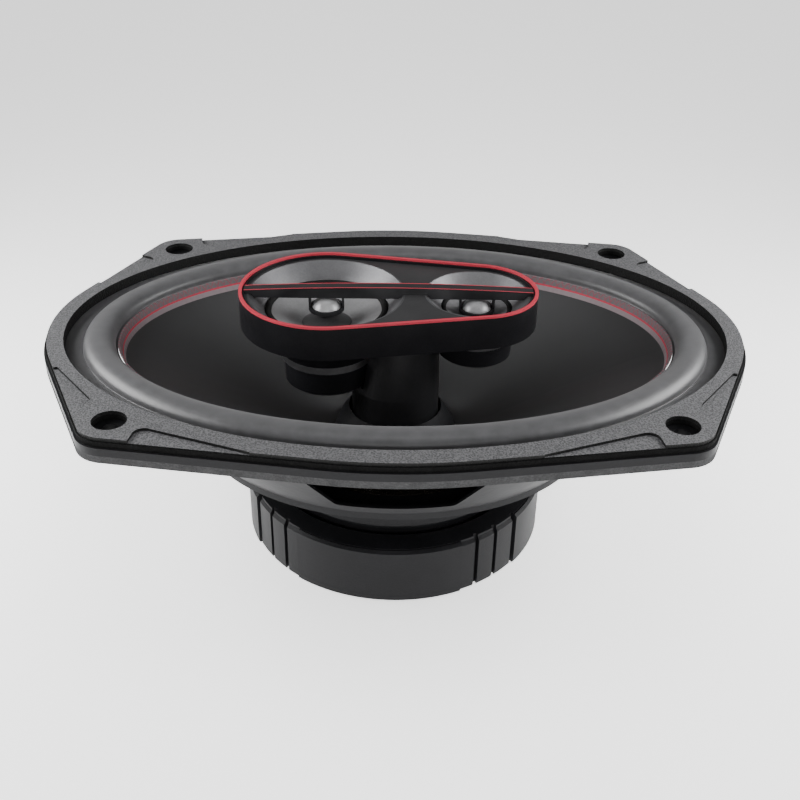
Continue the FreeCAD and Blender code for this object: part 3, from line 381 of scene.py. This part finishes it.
MID_AXIS = sum(corner.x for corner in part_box("mid_yoke")) / 2
TWEETER_AXIS = sum(corner.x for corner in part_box("tweeter_yoke")) / 2
LOOKS = {
    "basket": painted_look(), "trim_ring": trim_look(),
    "rear_gasket": foam_look("rear_foam", (0.05, 0.05, 0.051)),
    "front_gasket": foam_look("front_foam", (0.004, 0.004, 0.004)),
    "woofer_cone": cone_look("cone_plastic", (0.026, 0.026, 0.027)),
    "cone_edge_ring": edge_band_look(), "housing_rim": red_look(), "bridge_bar": bar_look(),
    "bridge_housing": plastic_look("housing_plastic", (0.004, 0.004, 0.005), 0.42, specular=0.2),
    "magnet_cover": plastic_look("cover_plastic", (0.006, 0.006, 0.007), 0.45, specular=0.16),
    "front_deck": plastic_look("deck_plastic", (0.02, 0.02, 0.021), 0.45),
    "center_post": plastic_look("post_plastic", (0.007, 0.007, 0.008), 0.4),
    "mid_basket": highlight_band_can_look(),
    "tweeter_can": plastic_look("tweeter_can_plastic", (0.003, 0.003, 0.003), 0.55, specular=0.05),
    "terminal_board": plastic_look("board_fibre", (0.05, 0.028, 0.015), 0.6),
    "crossover_capacitors": plastic_look("capacitor_sleeve", (0.012, 0.035, 0.14), 0.3),
    "mid_flare": metal_look("mid_silver", (0.17, 0.17, 0.176), 0.5, MID_AXIS),
    "tweeter_flare": metal_look("tweeter_silver", (0.21, 0.21, 0.217), 0.48, TWEETER_AXIS),
    "left_dome": small_cone_look("left_satin_dome", MID_AXIS, (0.32, 0.32, 0.325)),
    "right_dome": small_cone_look("right_satin_dome", TWEETER_AXIS, (0.3, 0.3, 0.305)),
    "front_plate": metal_look("plated_steel", (0.3, 0.3, 0.31), 0.3),
    "mid_yoke": plastic_look("mid_can_paint", (0.005, 0.005, 0.006), 0.5, specular=0.08),
    "coil_former": metal_look("former_foil", (0.7, 0.7, 0.7), 0.35),
    "left_pod_magnet": metal_look("neodymium", (0.62, 0.62, 0.64), 0.2, MID_AXIS),
    "positive_blade": metal_look("tinned_brass", (0.62, 0.55, 0.36), 0.3),
    "dust_cap": plastic_look("dust_dome_plastic", (0.005, 0.005, 0.006), 0.6, specular=0.1),
    "voice_coil": copper_look(), "magnet": ferrite_look(),
    "mid_cone": small_cone_look("mid_cone_coat", MID_AXIS, (0.25, 0.25, 0.255)),
    "tweeter_cone": small_cone_look("tweeter_cone_coat", TWEETER_AXIS, (0.16, 0.16, 0.165)),
    "mid_dust_cap": plastic_look("mid_cap_coat", (0.05, 0.05, 0.052), 0.4),
    "mid_spider": cloth_look("spider_cloth", (0.05, 0.038, 0.02)),
    "mid_surround": plastic_look("thin_rubber", (0.008, 0.008, 0.008), 0.8, specular=0.2),
}
SAME = {
    "yoke": "front_plate", "plate_rivets": "front_plate", "post_bolt": "front_plate",
    "mid_front_plate": "front_plate", "tweeter_front_plate": "front_plate", "tweeter_yoke": "mid_yoke",
    "right_pod_magnet": "left_pod_magnet", "left_pod": "center_post", "right_pod": "center_post",
    "negative_blade": "positive_blade", "terminal_rivets": "positive_blade", "lead_pins": "positive_blade",
    "mid_voice_coil": "voice_coil", "tweeter_voice_coil": "voice_coil", "left_dome_coil": "voice_coil",
    # the small drivers' magnets share the yoke's near-black look, darker than the grey ferrite
    "right_dome_coil": "voice_coil", "mid_magnet": "mid_yoke", "tweeter_magnet": "mid_yoke",
    "tweeter_dust_cap": "mid_dust_cap", "tweeter_surround": "mid_surround", "surround": "mid_surround",
    "spider": "mid_spider",
}


def dress():
    """Give each CAD node its material."""
    for name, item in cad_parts.items():
        look = LOOKS[SAME.get(name, name)]
        item.data.materials.clear()
        item.data.materials.append(look)


# ---- soft rings -----------------------------------------------------------------------------


def ring_mesh(name, outline, half_sizes, count, look):
    """A closed ring round the axis: a loop of (share, z) swept round the ellipse half_sizes(share)."""
    vertices = []
    for step in range(count):
        turn = TURN * step / count
        for share, z in outline:
            long, short = half_sizes(share)
            vertices.append((long * math.cos(turn), short * math.sin(turn), z))
    across = len(outline)
    faces = []
    for step in range(count):
        following = (step + 1) % count
        for place in range(across):
            after = (place + 1) % across
            faces.append((step * across + place, following * across + place,
                          following * across + after, step * across + after))
    mesh = bpy.data.meshes.new(name)
    mesh.from_pydata(vertices, [], faces)
    mesh.materials.append(look)
    mesh.shade_smooth()
    piece = bpy.data.objects.new(name, mesh)
    bpy.context.scene.collection.objects.link(piece)
    return piece


def follow_radially(piece, weight_at):
    """Bake a ring's placement into its mesh and work out a weight per vertex, 0 for the frame and 1 for
    the moving body; nothing uses the weights.
    """
    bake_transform(piece)
    weights = [min(max(weight_at(vertex.co), 0.0), 1.0) for vertex in piece.data.vertices]


def ellipse_share(point, half_long, half_short):
    """How far out a point is, as a share of an ellipse."""
    return math.hypot(point.x / half_long, point.y / half_short)


def make_surround():
    """Rubber half roll from the lip on the basket's seat to the cone's edge ring."""
    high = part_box("surround")[1]
    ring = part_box("cone_edge_ring")[1]
    crease_long = 106.0 * MM
    crease_short = 71.2 * MM
    width = 10.7 * MM
    seat = 3.4 * MM
    lip_top = 4.2 * MM
    crest = high.z
    thick = 0.7 * MM
    gap = 0.03 * MM
    steps = 24

    def half_size(share, lip, crease, ring_edge):
        if share < 0:
            return crease - (lip - crease) * share
        if share > 1:
            return ring_edge + (crease - width - ring_edge) * (2 - share)
        return crease - width * share

    def half_sizes(share):
        return (half_size(share, high.x, crease_long, ring.x + gap),
                half_size(share, high.y, crease_short, ring.y + gap))

    top = [(-1.0, lip_top), (-0.12, lip_top), (-0.04, lip_top - 0.1 * MM), (0.0, lip_top - 0.3 * MM)]
    for step in range(1, steps):
        angle = math.pi * step / steps
        top.append((0.5 - 0.5 * math.cos(angle), seat + (crest - seat) * math.sin(angle) ** 0.8))
    top += [(0.998, seat + 0.1 * MM), (2.0, seat)]
    under = []  # the roll's inside, a little narrower than its outside
    for share, z in top:
        lean = max(min(share, 1.0), 0.0) - 0.5
        under.append((share - lean * 0.12 if 0 < share < 1 else share, z - thick))
    piece = ring_mesh("surround_rubber_ring", top + under[::-1], half_sizes, 288, surround_look())
    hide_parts("surround")

    def weight(point):
        outer = ellipse_share(point, crease_long, crease_short)
        inner = ellipse_share(point, crease_long - width, crease_short - width)
        if inner <= 1:
            return 1.0
        if outer >= 1:
            return 0.0
        return (1 - outer) / ((1 - outer) + (inner - 1))

    follow_radially(piece, weight)


def make_spider():
    """Corrugated cloth ring from the basket's seat to the coil former."""
    low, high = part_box("spider")
    outer = high.x
    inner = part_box("coil_former")[1].x + 0.05 * MM
    seat = low.z + 1.02 * MM
    cloth = 0.45 * MM
    waves = 6
    landing = 2.0 * MM
    lift = 1.0 * MM
    count = 96
    span = outer - inner - 2 * landing
    top = []
    for step in range(count + 1):
        radius = outer + (inner - outer) * step / count
        share = (radius - inner - landing) / span
        swell = math.sin(TURN * waves * share) * lift if 0 < share < 1 else 0.0
        top.append((radius, seat + swell + cloth))
    outline = top + [(radius, z - cloth) for radius, z in top[::-1]]
    piece = ring_mesh("spider_cloth_ring", outline, lambda radius: (radius, radius), 192,
                      LOOKS["mid_spider"])
    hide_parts("spider")
    follow_radially(piece,
                    lambda point: 1 - (math.hypot(point.x, point.y) - inner - landing) / span)


# ---- studio ---------------------------------------------------------------------------------


FLOOR_GLOW = 1.2
FLOOR_SIDE = 6.0
WORLD_LIGHT = 0.22
LAMPS = (  # name, place, size and power
    ("overhead", (0.0, 0.0, 0.9), (0.6, 0.4), 1.2),
    ("front_soft", (0.0, -0.85, 0.28), (0.6, 0.25), 4.0),
    ("left_soft", (-0.3, 0.0, 0.14), (0.26, 0.16), 1.9),
    ("right_soft", (0.3, 0.0, 0.14), (0.26, 0.16), 1.8),
)


def area_light(name, place, size, power):
    """A soft rectangular lamp aimed at the origin."""
    data = bpy.data.lights.new(name, "AREA")
    data.shape = "RECTANGLE"
    data.size, data.size_y = size
    data.energy = power
    lamp = bpy.data.objects.new(name, data)
    lamp.location = place
    lamp.rotation_euler = (-Vector(place)).to_track_quat("-Z", "Y").to_euler()
    bpy.context.scene.collection.objects.link(lamp)


def make_studio():
    """White floor under the magnet cover, a dim world and large soft lamps."""
    floor_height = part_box("magnet_cover")[0].z
    mesh = bpy.data.meshes.new("floor")
    signs = ((-1, -1), (1, -1), (1, 1), (-1, 1))
    corners = [(x * FLOOR_SIDE, y * FLOOR_SIDE, floor_height) for x, y in signs]
    mesh.from_pydata(corners, [], [(0, 1, 2, 3)])
    floor = bpy.data.objects.new("floor", mesh)
    bpy.context.scene.collection.objects.link(floor)
    look = Look("floor_paper", (0.95, 0.95, 0.95), 0.9, specular=0.0)
    look.link(look.ramp(look.noise(0.4), (0.3, (0.94, 0.94, 0.94)), (0.7, (0.96, 0.96, 0.96))),
              look.shader.inputs["Base Color"])
    look.set("Emission Color", (1, 1, 1, 1))
    look.set("Emission Strength", FLOOR_GLOW)
    mesh.materials.append(look.material)
    world = bpy.data.worlds.new("studio")
    world.use_nodes = True
    world.node_tree.nodes["Background"].inputs["Color"].default_value = (1, 1, 1, 1)
    world.node_tree.nodes["Background"].inputs["Strength"].default_value = WORLD_LIGHT
    bpy.context.scene.world = world
    for lamp in LAMPS:
        area_light(*lamp)


make_camera()
dress()
make_surround()
make_spider()
make_studio()
